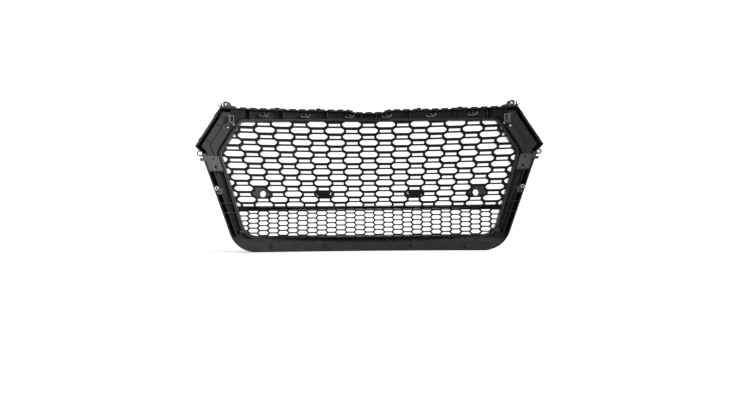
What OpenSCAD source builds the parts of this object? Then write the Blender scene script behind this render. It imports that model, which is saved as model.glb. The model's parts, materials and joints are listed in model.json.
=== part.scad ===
// Honeycomb front grille for a tall road car: a two-piece rear frame, a two-piece
// glossy front trim, two mesh panels with a joining bar, sensor holders and fixings.
// +X runs across the car, +Y points to the front of the car, +Z is up.
// The origin is under the middle of the grille, at the height of its bottom edge.

/* [Overall size] */
// Width across the two cheeks
body_w = 1058; // [960:1:1280]
// Height of the top edge above the bottom edge
body_h = 446; // [430:1:560]
// Plan radius of the front, which sweeps back towards both sides
sweep_r = 1200; // [1000:10:1600]
// Height of the widest point of the cheeks
cheek_h = 324; // [310:1:360]
// How far in the top corner lies from the widest point
ear_in = 71; // [50:1:110]
// Sideways step in below the widest point
waist_in = 17; // [10:1:26]
// Height of that step
waist_drop = 19; // [14:1:30]
// How far in the bottom corner lies from the widest point
foot_in = 117; // [90:1:150]
// Rounding of the bottom corners
foot_r = 80; // [50:1:100]
// Half width of the dip in the middle of the top edge
dip_w = 66; // [40:1:100]
// Depth of that dip
dip_h = 8; // [2:1:14]

/* [Opening] */
// Height of the bottom rail below the mesh
rail_bottom_h = 50; // [44:1:66]
// Height of the top rail in the middle
rail_top_h = 31; // [28:1:40]
// How much more the top rail measures where it meets the cheeks
rail_top_bow = 9; // [0:1:14]
// Height of the widest point of the opening
open_waist_h = 306; // [290:1:330]
// Width of a cheek at its widest point
cheek_w = 71; // [64:1:95]
// How far in the top corner of the opening lies from the widest point of the cheeks
open_ear_in = 129; // [120:1:160]
// How far in the bottom corner of the opening lies from the widest point of the cheeks
open_foot_in = 142; // [130:1:175]
// Rounding of the opening's bottom corners
open_foot_r = 45; // [30:1:60]

/* [Frame] */
// Depth of the rear frame behind the datum sheet
frame_depth = 34; // [28:1:44]
// Thickness of the frame's walls and front plate
wall = 3.5; // [2.5:0.1:4.5]
// Thickness of the ribs
rib_t = 2.5; // [1.8:0.1:3.5]
// Depth of the front trim
trim_depth = 22; // [14:1:34]
// Gap at the seam between the upper and lower pieces
seam_gap = 0.4; // [0.2:0.1:1]
// Clearance between the mesh panels and the frame round them
mesh_gap = 0.4; // [0.2:0.1:1]
// Width of the rim that clamps the mesh
rim_w = 9; // [8:0.5:12]
// Thickness of that rim
rim_t = 4; // [3:0.5:6]
// How far the mesh panels reach under the rim
mesh_lip = 5; // [4:0.5:6]

/* [Upper mesh] */
// Depth of both mesh panels
mesh_depth = 16; // [10:1:20]
// Column spacing at the first row
cell_pitch = 54.9; // [48:0.1:66]
// Half of the row spacing at the first row
cell_step = 19.72; // [17:0.01:24]
// Distance from the first row down to the point that all columns aim at
fan_depth = 1739; // [1400:1:2400]
// Share by which columns widen towards the sides, for each column squared
cell_spread = 0.00024; // [0:0.00001:0.0004]
// Depth of the first row's centre below the opening's top edge
first_row_in = 11; // [8:0.5:16]

/* [Lower mesh] */
// Height of the joining bar's middle
divider_z = 135.8; // [126:0.1:150]
// Height of the joining bar
divider_h = 15.3; // [12:0.1:18]
// Column spacing of the lower mesh
fine_pitch = 30.4; // [26:0.1:36]
// Half of the row spacing of the lower mesh
fine_step = 7.7; // [6.5:0.05:9]
// Thickness of the lower mesh's walls
fine_wall = 4; // [3:0.1:5]
// Distance from the joining bar's middle to the lower mesh's first row
fine_first = 15.2; // [12:0.1:18]

/* [Holders and fixings] */
// Bore of the parking sensor holders
sensor_bore = 19.5; // [16:0.5:22]
// Length of the sensor holder's barrel
sensor_len = 24; // [20:1:32]
// Mesh column that holds a sensor
sensor_col = 7; // [5:2:7]
// Hole for a number plate screw
plate_hole = 4.2; // [3:0.1:5]
// Hole in the ear, waist and side lugs
lug_hole = 6.5; // [5:0.1:7.5]
// Thread diameter of the small screws
screw_d = 4; // [3:0.5:5]
// Screw clearance in the pieces that a screw passes through
screw_gap = 0.2; // [0.1:0.05:0.5]

/* [Hidden] */

// Fixed details, all in millimetres
plate_col = 3;
holder_row = 12;
holder_wall = 2.6;
plate_hole_in = 20;
sensor_in = 4;
sensor_back = 2.5;
mesh_edge = 0.5;
flange_t = 3;
fine_tip = 0.6;
tooth_pitch = 30;
tooth_w = 20;
tooth_h = 3;
tooth_depth = 10;
clip_x = [60, 204, 335];
clip_count = 2 * len(clip_x);
rail_rib_x = [24, 132, 270, 371];
rail_rib_depth = 22;
groove_w = 14;
deck_d = 25;
deck_t = 3;
deck_rib = 3;
panel_rib_in = 34;
cover_d = 21;
joiner_d = 19.5;
joiner_t = 3;
tongue_w = 18;
side_rib_in = 15;
side_rib_depth = 26;
slope_h = 29;
boss_r = 4.6;
boss_rise = 3;
head_r = 3.6;
head_h = 2.4;
screw_len = 14;
trim_bevel = 8;
lug_r = 8.5;
lug_t = 5;
eyelet_wall = 2;
lug_gap = 0.25;
buffer_rise = 5;
buffer_depth = 16;
grip_len = 16;
clip_w = 32;
clip_t = 2;
clip_leg = 30;
clip_spread = 32;
corner_foot = [22, 28];
foot_grip = 9;
bracket_reach = 48;
hook_w = 14;
hook_h = 6;

half_w = body_w / 2;
front_d = mesh_depth / 2;
frame_out = mesh_lip + mesh_gap;
seam_z = cheek_h - waist_drop - 2 * wall;
sliver = 0.001;
tooth_n = floor((half_w - ear_in - bracket_reach - tooth_w / 2) / tooth_pitch);
arc_n = 6;
round_fn = 48;
sweep_fn = 360;

// The datum sheet is part of an upright cylinder; d is a depth in front of it.
// y_shift puts the origin midway between the rearmost lug and the foremost trim.
waist_lug_at = [half_w - waist_in + 2, cheek_h - waist_drop - 3];
function sheet_raw(x, d) = sqrt(pow(sweep_r + d, 2) - x * x) - sweep_r;
y_back = min(sheet_raw(half_w, -frame_depth),
  sheet_raw(waist_lug_at.x + lug_r, -frame_depth - lug_t));
y_shift = -(y_back + front_d + trim_depth) / 2;
function sheet_y(x, d) = y_shift + sheet_raw(x, d);
function sheet_turn(x) = asin(x / sweep_r);

// Outlines: each corner is [x, z, radius]
outer_half = [
  [half_w - foot_in, 0, foot_r],
  [half_w - waist_in, cheek_h - waist_drop, 3],
  [half_w, cheek_h, 4],
  [half_w - ear_in, body_h, 4],
  [dip_w, body_h, 12],
  [dip_w * 0.55, body_h - dip_h, 12]];
open_corner_z = body_h - rail_top_h - rail_top_bow;
open_ear_x = half_w - open_ear_in;
open_half = concat(
  [[half_w - open_foot_in, rail_bottom_h, open_foot_r],
   [half_w - cheek_w, open_waist_h, 22],
   [open_ear_x, open_corner_z, 9]],
  [for (i = [3:-1:1]) let (x = open_ear_x * i / 4)
    [x, open_corner_z + rail_top_bow * (1 - pow(x / open_ear_x, 2)), 0]]);

function unit(v) = v / norm(v);
function flat(c) = [c[0], c[1]];
function round_corner(a, b, c, r) =
  let (u = unit(flat(a) - flat(b)), w = unit(flat(c) - flat(b)), half = acos(u * w) / 2)
  let (centre = flat(b) + unit(u + w) * r / sin(half))
  let (p = flat(b) + u * r / tan(half) - centre, q = flat(b) + w * r / tan(half) - centre)
  let (start = atan2(p.y, p.x), turn = atan2(q.y, q.x) - start)
  let (sweep = turn > 180 ? turn - 360 : turn < -180 ? turn + 360 : turn)
  [for (i = [0:arc_n]) centre + r * [cos(start + sweep * i / arc_n), sin(start + sweep * i / arc_n)]];
function rounded(corners) = let (n = len(corners))
  [for (i = [0:n - 1]) each (corners[i][2] == 0 ? [flat(corners[i])] :
    round_corner(corners[(i + n - 1) % n], corners[i], corners[(i + 1) % n], corners[i][2]))];
function both_sides(half) = concat(half,
  [for (i = [len(half) - 1:-1:0]) [-half[i][0], half[i][1], half[i][2]]]);

outer_points = rounded(both_sides(outer_half));
open_points = rounded(both_sides(open_half));

// Places on the frame: along a cheek's edge, and halfway across a side limb
ear = [half_w - ear_in, body_h];
cheek_dir = unit([half_w, cheek_h] - ear);
cheek_out = [-cheek_dir.y, cheek_dir.x];
cheek_len = norm([half_w, cheek_h] - ear);
cheek_turn = atan2(cheek_out.y, cheek_out.x);
function cheek_point(s, inset) = ear + cheek_dir * s - cheek_out * inset;
function outer_x(z) = half_w - foot_in + (foot_in - waist_in) * z / (cheek_h - waist_drop);
function open_x(z) = half_w - open_foot_in
  + (open_foot_in - cheek_w) * (z - rail_bottom_h) / (open_waist_h - rail_bottom_h);
function side_mid(z) = [(outer_x(z) + open_x(z)) / 2, z];
joiner_low_z = seam_z - 47;
joiner_low = side_mid(joiner_low_z + 12);
waist_hole = side_mid(seam_z - 10);
joiner_top = cheek_point(cheek_len - 23, 38);
panel_screw = [open_ear_x + 36.5, open_corner_z - 20];
cover_screw = [open_ear_x + 20, open_corner_z - 10];
panel_x = open_ear_x + 29;
corner_clip_at = [panel_x, open_corner_z + 4];
side_lug_z = 197;
side_lug_at = [outer_x(side_lug_z) - wall - lug_hole / 2 - eyelet_wall - lug_gap, side_lug_z];
skin_boss_x = [-306, -137, 137, 306];
skin_boss_z = 15;

module outer_shape(inset) {
  offset(delta = -inset) polygon(outer_points);
}
module open_shape(outset) {
  offset(delta = outset) polygon(open_points);
}
module frame_shape(inset, outset) {
  difference() {
    outer_shape(inset);
    open_shape(outset);
  }
}
module above(z) {
  translate([-body_w, z]) square([2 * body_w, body_h]);
}
module below(z) {
  translate([-body_w, z - 2 * body_h]) square([2 * body_w, 2 * body_h]);
}

// A flat shape carried onto the curved sheet, from depth d0 to depth d1
module on_sheet(d0, d1) {
  intersection() {
    rotate([90, 0, 0]) translate([0, 0, -body_w / 4]) linear_extrude(body_w) children();
    translate([0, y_shift - sweep_r, -body_h]) difference() {
      cylinder(r = sweep_r + d1, h = 3 * body_h, $fn = sweep_fn);
      translate([0, 0, -1]) cylinder(r = sweep_r + d0, h = 3 * body_h + 2, $fn = sweep_fn);
    }
  }
}
module one_side(side) {
  if (side > 0) children();
  else mirror([1, 0, 0]) children();
}

// Upper mesh: columns aim at one point far below, so cells shrink from row to row
fan_q = 1 - cell_step / fan_depth;
first_row_z = body_h - rail_top_h - first_row_in;
function row_z(k) = first_row_z - fan_depth * (1 - pow(fan_q, k));
function col_x(j, k) = cell_pitch * j * (1 + cell_spread * j * j) * pow(fan_q, k);
function cell_point(j, k) = [col_x(j, k), row_z(k)];
cell_corner = [0.37, 0.47];
cell_tip = 0.6;
slot_half = 0.325;
slot_rows = [0.88, 1.33];
function cell_outline(j, k) = [for (p = [
    [cell_corner.x, -cell_corner.y], [cell_tip, 0], cell_corner, [-cell_corner.x, cell_corner.y],
    [-cell_tip, 0], -cell_corner]) cell_point(j + p.x, k + p.y)];
function slot_outline(j, k) = [for (p = [[-1, slot_rows[0]], [1, slot_rows[0]], [1, slot_rows[1]],
    [-1, slot_rows[1]]]) cell_point(j + p.x * slot_half, k + p.y)];
divider_top = divider_z + divider_h / 2;
cols = ceil((half_w - cheek_w) / (cell_pitch * 0.8));
rows = ceil(ln(1 - (first_row_z - divider_top) / fan_depth) / ln(fan_q)) + 1;
function is_sensor(j, k) = k == holder_row && abs(j) == sensor_col;

sensor_at = cell_point(sensor_col, holder_row) - [sensor_in, 0];
sensor_y = sheet_y(sensor_at.x, 0) + sensor_len / 2 - sensor_back;
plate_at = cell_point(plate_col, holder_row);
barrel_r = sensor_bore / 2 + holder_wall;
plate_hole_x = plate_at.x - plate_hole_in;

module upper_holes() {
  for (k = [-2:rows]) for (j = [-cols:cols]) if ((j + k) % 2 != 0) {
    if (!is_sensor(j, k)) polygon(cell_outline(j, k));
    if (!is_sensor(j, k + 2)) polygon(slot_outline(j, k));
  }
}
module upper_mesh_shape() {
  difference() {
    intersection() {
      open_shape(mesh_lip);
      above(divider_z + wall / 2 + mesh_gap / 2);
    }
    intersection() {
      upper_holes();
      open_shape(mesh_edge);
      above(divider_top - mesh_edge);
    }
  }
}
module upper_mesh() {
  color([0.05, 0.05, 0.055]) difference() {
    on_sheet(-front_d, front_d) offset(delta = sliver) upper_mesh_shape();
    for (side = [-1, 1]) one_side(side)
      translate([sensor_at.x, y_shift + front_d, sensor_at.y]) rotate([90, 0, 0])
        cylinder(r = barrel_r + mesh_gap, h = body_w / 4, $fn = round_fn);
  }
}
module lower_holes() {
  n = ceil((half_w - open_foot_in + rail_bottom_h) / fine_pitch);
  m = ceil((divider_z - rail_bottom_h) / fine_step) + 1;
  tip = fine_tip * fine_pitch - fine_wall * fine_tip;
  flat_x = (1 - fine_tip) * (fine_pitch - fine_wall);
  top_z = fine_step - fine_wall / 2;
  for (k = [-1:m]) for (j = [-n:n]) if ((j + k) % 2 != 0)
    translate([fine_pitch * j, divider_z - fine_first - fine_step * k])
      polygon([[tip, 0], [flat_x, top_z], [-flat_x, top_z], [-tip, 0], [-flat_x, -top_z],
        [flat_x, -top_z]]);
}
module lower_mesh_shape() {
  difference() {
    intersection() {
      open_shape(mesh_lip);
      below(divider_z - wall / 2 - mesh_gap / 2);
    }
    intersection() {
      lower_holes();
      open_shape(mesh_edge);
      below(divider_z - divider_h / 2 + mesh_edge);
    }
  }
}
module lower_mesh() {
  color([0.05, 0.05, 0.055])
    on_sheet(-front_d, front_d) offset(delta = sliver) lower_mesh_shape();
}

// An H-section strip: its web lies between the two panels, its flanges lap over both
module bar_shape(h) {
  intersection() {
    open_shape(-mesh_gap);
    translate([-body_w / 2, divider_z - h / 2]) square([body_w, h]);
  }
}
module divider_bar() {
  color([0.04, 0.04, 0.045]) {
    on_sheet(-front_d - flange_t, -front_d) bar_shape(divider_h);
    on_sheet(-front_d - flange_t, front_d + flange_t) bar_shape(wall);
    on_sheet(front_d, front_d + flange_t) bar_shape(divider_h);
  }
}

// Rear frame: a tray with an outer wall, an inner wall round the mesh and ribs between
module ring_shape(inset, thickness) {
  difference() {
    outer_shape(inset);
    outer_shape(inset + thickness);
  }
}
module open_ring_shape(outset, thickness) {
  difference() {
    open_shape(outset + thickness);
    open_shape(outset);
  }
}
module frame_tray() {
  on_sheet(front_d - wall, front_d) frame_shape(0, frame_out);
  on_sheet(-frame_depth, front_d) ring_shape(0, wall);
  on_sheet(-front_d, front_d) open_ring_shape(frame_out, wall);
}
module stripe(x, width) {
  translate([x - width / 2, 0]) square([width, 2 * body_h]);
}
module top_teeth() {
  on_sheet(-frame_depth, -frame_depth + tooth_depth) intersection() {
    difference() {
      outer_shape(-tooth_h);
      outer_shape(wall / 2);
    }
    above(body_h - dip_h - wall);
    for (i = [-tooth_n:tooth_n]) stripe(tooth_pitch * i, tooth_w);
  }
}
// Ribs between the frame's walls, cut back where the rim lies on the mesh's edge
module between_walls(depth) {
  on_sheet(-depth, -front_d) intersection() {
    frame_shape(wall / 2, rim_w + mesh_gap);
    children();
  }
  on_sheet(-front_d, front_d) intersection() {
    frame_shape(wall / 2, frame_out + wall / 2);
    children();
  }
}
module rail_ribs() {
  between_walls(rail_rib_depth) intersection() {
    above(open_corner_z);
    for (side = [-1, 1]) for (x = rail_rib_x) stripe(side * x, rib_t);
  }
}
// The waist joiner's tongue, which reaches up to a screw under the cheek panel
module tongue_shape(gap) {
  translate(joiner_top) circle(r = tongue_w / 2 + gap, $fn = round_fn);
  translate([joiner_top.x - tongue_w / 2 - gap, seam_z])
    square([tongue_w + 2 * gap, joiner_top.y - seam_z]);
}
// Ledges that carry the cheek panel on its four edges, with a gap for the joiner's tongue
module cheek_ledges() {
  between_walls(deck_d) difference() {
    intersection() {
      union() {
        ring_shape(groove_w + rib_t, rib_t);
        intersection() {
          open_ring_shape(frame_out + 2 * wall, rib_t);
          outer_shape(groove_w);
        }
      }
      above(seam_z + seam_gap / 2);
    }
    translate([-panel_x, 0]) square([2 * panel_x, 2 * body_h]);
    for (side = [-1, 1]) one_side(side) tongue_shape(mesh_gap);
  }
}
// Bosses, holes and screws all run along Y, the way the mouldings leave their tools
module along_y(p, d, r, len) {
  translate([p.x, sheet_y(p.x, d), p.y]) rotate([-90, 0, 0])
    cylinder(r = r, h = len, $fn = round_fn);
}
module boss(p, d) {
  on_sheet(-d, front_d - wall / 2) translate(p) circle(r = boss_r, $fn = round_fn);
}
module boss_hole(p, d) {
  along_y(p, -d - 1, screw_d / 2, screw_len);
}
// Clearance hole with a flat seat, halfway through the plate, for the screw's head
module seat_hole(p, d, t) {
  along_y(p, -d - frame_depth, screw_d / 2 + screw_gap, 2 * frame_depth);
  translate([0, -frame_depth, 0]) along_y(p, -d - t / 2, head_r + screw_gap, frame_depth);
}
module screw(p, d, t) {
  translate([0, -head_h, 0]) along_y(p, -d - t / 2, head_r, head_h);
  along_y(p, -d - t / 2, screw_d / 2, screw_len - 2);
}
module upper_zone() {
  translate([-body_w, -body_w, seam_z + seam_gap / 2]) cube([2 * body_w, 2 * body_w, body_h]);
}
module lower_zone() {
  translate([-body_w, -body_w, -1]) cube([2 * body_w, 2 * body_w, seam_z - seam_gap / 2 + 1]);
}
module upper_frame() {
  color([0.12, 0.12, 0.125]) difference() {
    union() {
      intersection() {
        frame_tray();
        upper_zone();
      }
      top_teeth();
      rail_ribs();
      cheek_ledges();
      for (side = [-1, 1]) one_side(side) {
        boss(joiner_top, joiner_d);
        boss(panel_screw, deck_d);
        boss(cover_screw, cover_d);
      }
    }
    for (side = [-1, 1]) one_side(side) {
      boss_hole(joiner_top, joiner_d);
      boss_hole(panel_screw, deck_d);
      boss_hole(cover_screw, cover_d);
    }
  }
}
module side_ribs() {
  between_walls(side_rib_depth) intersection() {
    union() {
      ring_shape(side_rib_in, rib_t);
      for (z = [joiner_low_z - rib_t, divider_z + side_rib_in, divider_z - side_rib_in])
        translate([-body_w, z]) square([2 * body_w, rib_t]);
    }
    above(rail_bottom_h);
    below(joiner_low_z);
  }
}
// Rear skin of the bottom rail: a slope under the mesh, then an upright face
module bottom_skin() {
  top = rail_bottom_h - rim_w;
  intersection() {
    translate([0, y_shift - sweep_r, 0]) rotate_extrude($fn = sweep_fn) translate([sweep_r, 0])
      polygon([[-front_d - rim_t, top], [-frame_depth, slope_h], [-frame_depth, 0],
        [-frame_depth + wall, 0], [-frame_depth + wall, slope_h - wall / 2],
        [-front_d, top - wall]]);
    rotate([90, 0, 0]) translate([0, 0, -body_w / 4]) linear_extrude(body_w) outer_shape(wall / 2);
  }
}
module lower_frame() {
  color([0.13, 0.13, 0.135]) difference() {
    union() {
      intersection() {
        frame_tray();
        lower_zone();
      }
      side_ribs();
      bottom_skin();
      for (x = skin_boss_x)
        along_y([x, skin_boss_z], -frame_depth - boss_rise, head_r + wall, boss_rise + wall);
      for (side = [-1, 1]) one_side(side) boss(joiner_low, joiner_d);
    }
    for (x = skin_boss_x) along_y([x, skin_boss_z], -frame_depth - boss_rise - 1, screw_d / 2, screw_len);
    for (side = [-1, 1]) one_side(side) boss_hole(joiner_low, joiner_d);
  }
}

module mesh_rim() {
  color([0.3, 0.3, 0.31]) on_sheet(-front_d - rim_t, -front_d) open_ring_shape(0, rim_w);
}

// Front trim: a hollow stepped moulding, closed behind by the frame's plate
module trim_ring() {
  step_d = front_d + trim_depth - trim_bevel;
  on_sheet(front_d, step_d) {
    ring_shape(0, wall);
    open_ring_shape(0, wall);
  }
  on_sheet(step_d - wall, step_d) {
    ring_shape(0, trim_bevel + wall);
    open_ring_shape(0, trim_bevel + wall);
  }
  on_sheet(step_d - wall, front_d + trim_depth) {
    ring_shape(trim_bevel, wall);
    open_ring_shape(trim_bevel, wall);
  }
  on_sheet(front_d + trim_depth - wall, front_d + trim_depth) frame_shape(trim_bevel, trim_bevel);
}
module front_trim_upper() {
  color([0.02, 0.02, 0.022]) intersection() {
    trim_ring();
    upper_zone();
  }
}
module front_trim_lower() {
  color([0.02, 0.02, 0.022]) intersection() {
    trim_ring();
    lower_zone();
  }
}

// Sensor holder: a flange on the back of the mesh and a barrel through it
module sensor_holder(side) {
  color([0.16, 0.16, 0.165]) one_side(side) difference() {
    union() {
      on_sheet(-front_d - flange_t, -front_d) union() {
        polygon(cell_outline(sensor_col, holder_row));
        polygon([for (p = [[-1, slot_rows[0]], [1, slot_rows[0]], [cell_corner.x / slot_half, 2],
          [-cell_corner.x / slot_half, 2]])
          cell_point(sensor_col + p.x * slot_half, holder_row - 2 + p.y)]);
        translate(sensor_at) circle(r = barrel_r + flange_t, $fn = round_fn);
      }
      translate([sensor_at.x, sensor_y, sensor_at.y]) rotate([90, 0, 0])
        cylinder(r = barrel_r, h = sensor_len, $fn = round_fn);
    }
    translate([sensor_at.x, sensor_y + 1, sensor_at.y]) rotate([90, 0, 0])
      cylinder(r = sensor_bore / 2, h = 2 * sensor_len, $fn = round_fn);
  }
}
// Plate boss: a plug that fills one cell, with a screw hole near its inner end
module plate_boss(side) {
  color([0.05, 0.05, 0.055]) one_side(side) difference() {
    on_sheet(-front_d, front_d) offset(delta = -mesh_gap)
      polygon(cell_outline(plate_col, holder_row));
    translate([plate_hole_x, y_shift + 2 * front_d, plate_at.y]) rotate([90, 0, 0])
      cylinder(r = plate_hole / 2, h = body_w / 8, $fn = round_fn);
  }
}

module panel_zone() {
  intersection() {
    frame_shape(groove_w, frame_out + 2 * wall);
    above(seam_z + seam_gap);
    translate([panel_x, 0]) square([half_w, 2 * body_h]);
  }
}
module cheek_panel(side) {
  color([0.14, 0.14, 0.145]) one_side(side) difference() {
    union() {
      on_sheet(-deck_d - deck_t, -deck_d) panel_zone();
      on_sheet(-deck_d - deck_t - deck_rib, -deck_d - deck_t) difference() {
        intersection() {
          panel_zone();
          union() {
            ring_shape(panel_rib_in, rib_t);
            for (s = [cheek_len * 0.35, cheek_len * 0.76])
              translate(cheek_point(s, panel_rib_in)) rotate(cheek_turn) square([panel_rib_in, rib_t]);
          }
        }
        translate(corner_clip_at) offset(delta = mesh_gap) square(corner_foot, center = true);
      }
    }
    seat_hole(panel_screw, deck_d, deck_t);
  }
}
module rail_cover(side) {
  color([0.17, 0.17, 0.175]) one_side(side) difference() {
    on_sheet(-cover_d - deck_t, -cover_d) intersection() {
      frame_shape(wall + mesh_gap, frame_out + wall + mesh_gap);
      above(open_corner_z - 2 * groove_w);
      translate([open_ear_x - groove_w, 0])
        square([panel_x - mesh_gap - open_ear_x + groove_w, 2 * body_h]);
    }
    seat_hole(cover_screw, cover_d, deck_t);
  }
}
module waist_joiner(side) {
  color([0.2, 0.2, 0.205]) one_side(side) difference() {
    on_sheet(-joiner_d - joiner_t, -joiner_d) union() {
      intersection() {
        frame_shape(wall + mesh_gap, frame_out + wall + mesh_gap);
        translate([0, joiner_low_z]) square([half_w, seam_z + mesh_gap - joiner_low_z]);
      }
      tongue_shape(0);
    }
    seat_hole(joiner_low, joiner_d, joiner_t);
    seat_hole(joiner_top, joiner_d, joiner_t);
    along_y(waist_hole, -frame_depth, screw_d / 2 + screw_gap, frame_depth);
  }
}

// Ear bracket: a bar on the top corner with a screw lug, a stop block and two prongs
ear_hole = ear + [-18, 10];
module ear_bracket(side) {
  color([0.12, 0.12, 0.125]) one_side(side) difference() {
    on_sheet(-frame_depth - lug_t, -frame_depth + wall) {
      polygon([for (p = [[-bracket_reach, 0], [-bracket_reach, wall], [-33, 2 * wall], [-30, 16],
        [-24, 15], [-22, wall], [-8, wall], [-3.5, 17], [-3, wall], [-2, wall], [10, 10], [-1, 0]])
        ear + p]);
      translate(ear_hole) circle(r = lug_r, $fn = round_fn);
    }
    along_y(ear_hole, -frame_depth - 2 * lug_t, lug_hole / 2, frame_depth);
  }
}
// A flat foot stands on the curved sheet on its two ends: its Y is 0 there, and X runs along it
module on_foot(at, d, width) {
  translate([at.x, sheet_y(at.x, d) - width * width / (8 * sweep_r), at.y])
    rotate([0, 0, -sheet_turn(at.x)]) children();
}
// Corner clip: a spring U on a foot that grips the bumper skin
module corner_clip(side) {
  color([0.08, 0.08, 0.085]) one_side(side) on_foot(corner_clip_at, -deck_d - deck_t, corner_foot.x) {
    translate([-corner_foot.x / 2, -clip_t, -corner_foot.y / 2])
      cube([corner_foot.x, clip_t, corner_foot.y]);
    for (x = [-8, 5]) translate([x, -grip_len, -11]) cube([3, grip_len, 22]);
    translate([-8, -grip_len, -11]) cube([16, grip_len, 3]);
  }
}
// A round lug with an arm onto the frame's edge, and a square tab below it
module lug_shape(at, tab_drop, tab_out) {
  difference() {
    union() {
      translate(at) circle(r = lug_r, $fn = round_fn);
      translate(at - [2 * lug_r, lug_r]) square([2 * lug_r, lug_r]);
      translate(at - [2 * lug_r, tab_drop]) square([lug_r, tab_drop]);
      translate(at - [2 * lug_r, tab_drop + lug_r]) square([lug_r + tab_out, lug_r]);
    }
    translate(at) circle(r = lug_hole / 2 + eyelet_wall + screw_gap / 2, $fn = round_fn);
  }
}
module waist_lug(side) {
  color([0.1, 0.1, 0.105]) one_side(side) on_sheet(-frame_depth - lug_t, -frame_depth)
    lug_shape(waist_lug_at, 14, 8);
}
module side_lug(side) {
  color([0.1, 0.1, 0.105]) one_side(side) on_sheet(-frame_depth - lug_t, -frame_depth)
    lug_shape(side_lug_at, 10, 9);
}
module lug_eyelets() {
  color([0.62, 0.62, 0.63]) for (side = [-1, 1]) one_side(side) for (at = [waist_lug_at, side_lug_at])
    on_sheet(-frame_depth - lug_t - screw_gap, -frame_depth) difference() {
      translate(at) circle(r = lug_hole / 2 + eyelet_wall, $fn = round_fn);
      translate(at) circle(r = lug_hole / 2, $fn = round_fn);
    }
}
// Soft domes on the outside of a cheek
module buffer_shape(s, len) {
  r = (len * len / 4 + buffer_rise * buffer_rise) / (2 * buffer_rise);
  difference() {
    translate(cheek_point(s, r - buffer_rise)) circle(r = r, $fn = 4 * round_fn);
    outer_shape(0);
    translate(cheek_point(s, body_w)) rotate(cheek_turn) translate([0, -body_w]) square([body_w, 2 * body_w]);
  }
}
module edge_buffers(side) {
  color([0.03, 0.03, 0.03]) one_side(side) on_sheet(-buffer_depth, 0) {
    buffer_shape(25, 38);
    buffer_shape(cheek_len - 26, 30);
  }
}
// Rail clip: a foot with a V of two spring arms and a low angle beside it, between the rail's walls
clip_low = body_h - rail_top_h + frame_out + wall + mesh_gap;
clip_high = body_h - dip_h - wall - mesh_gap;
clip_h = clip_high - clip_low;
module rail_clip(i) {
  x = i > clip_count / 2 ? clip_x[i - clip_count / 2 - 1] : -clip_x[clip_count / 2 - i];
  color([0.2, 0.2, 0.21]) on_foot([x, clip_low], front_d - wall, clip_w) {
    translate([-clip_w / 2, -clip_t, 0]) cube([clip_w, clip_t, clip_h]);
    for (turn = [-1, 1]) translate([clip_w / 5, 0, clip_t / 2]) rotate([0, turn * clip_spread, 0])
      translate([-clip_t / 2, -clip_leg, 0])
        cube([clip_t, clip_leg, (clip_h - 1.5 * clip_t) / cos(clip_spread)]);
    translate([-clip_w / 2, -clip_leg, 0]) cube([clip_w * 0.7, clip_leg, clip_t]);
    translate([-clip_w / 2, -clip_leg, 0]) cube([clip_t, clip_leg, clip_h * 0.6]);
  }
}
// Top hook: a block on the top edge with a barb that faces the bonnet seal
hook_x = [158.5, 285.5];
module top_hook(i) {
  x = i > 2 ? hook_x[i - 3] : -hook_x[2 - i];
  color([0.1, 0.1, 0.105]) translate([x, sheet_y(x, -frame_depth), body_h])
    rotate([0, 0, -sheet_turn(x)]) {
      translate([-hook_w / 2, tooth_depth + 1, 0]) cube([hook_w, 12, hook_h]);
      translate([-hook_w / 2, 3, hook_h - 2]) cube([hook_w, tooth_depth, 2]);
    }
}
// Half-moon tabs that snap the rim to the bottom rail
tab_x = [68, 203, 313];
module rim_tabs() {
  color([0.22, 0.22, 0.23]) for (side = [-1, 1]) one_side(side) for (x = tab_x)
    on_sheet(-front_d - rim_t - flange_t, -front_d - rim_t) intersection() {
      translate([x, rail_bottom_h - rim_w + 2]) circle(r = lug_r, $fn = round_fn);
      above(rail_bottom_h - rim_w + 1);
      below(rail_bottom_h);
    }
}
// Foot clip: a small latch at the opening's bottom corner
module foot_clip(side) {
  z = rail_bottom_h + 12;
  at = [(open_x(z) + frame_out + wall + outer_x(z) - side_rib_in - rib_t) / 2, z];
  half = foot_grip / 2;
  color([0.09, 0.09, 0.095]) one_side(side) on_foot(at, front_d - wall, foot_grip) {
    translate([-half, -clip_t, -half]) cube([foot_grip, clip_t, foot_grip]);
    for (x = [-half, half - clip_t]) translate([x, -26, -half]) cube([clip_t, 26, foot_grip]);
    translate([-half, -26, half - clip_t]) cube([foot_grip, 26, clip_t]);
  }
}
module joiner_screws() {
  color([0.5, 0.5, 0.52]) for (side = [-1, 1]) one_side(side) for (p = [joiner_low, joiner_top])
    screw(p, joiner_d, joiner_t);
}
module panel_screws() {
  color([0.5, 0.5, 0.52]) for (side = [-1, 1]) one_side(side) {
    screw(panel_screw, deck_d, deck_t);
    screw(cover_screw, cover_d, deck_t);
  }
}
module trim_screws() {
  color([0.5, 0.5, 0.52]) for (x = skin_boss_x)
    screw([x, skin_boss_z], frame_depth + boss_rise, 0);
}

upper_frame();
lower_frame();
front_trim_upper();
front_trim_lower();
mesh_rim();
upper_mesh();
divider_bar();
lower_mesh();
sensor_holder(-1);  // sensor_holder_left
sensor_holder(1);  // sensor_holder_right
plate_boss(-1);  // plate_boss_left
plate_boss(1);  // plate_boss_right
cheek_panel(-1);  // cheek_panel_left
cheek_panel(1);  // cheek_panel_right
rail_cover(-1);  // rail_cover_left
rail_cover(1);  // rail_cover_right
waist_joiner(-1);  // waist_joiner_left
waist_joiner(1);  // waist_joiner_right
ear_bracket(-1);  // ear_bracket_left
ear_bracket(1);  // ear_bracket_right
corner_clip(-1);  // corner_clip_left
corner_clip(1);  // corner_clip_right
waist_lug(-1);  // waist_lug_left
waist_lug(1);  // waist_lug_right
side_lug(-1);  // side_lug_left
side_lug(1);  // side_lug_right
edge_buffers(-1);  // edge_buffers_left
edge_buffers(1);  // edge_buffers_right
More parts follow.
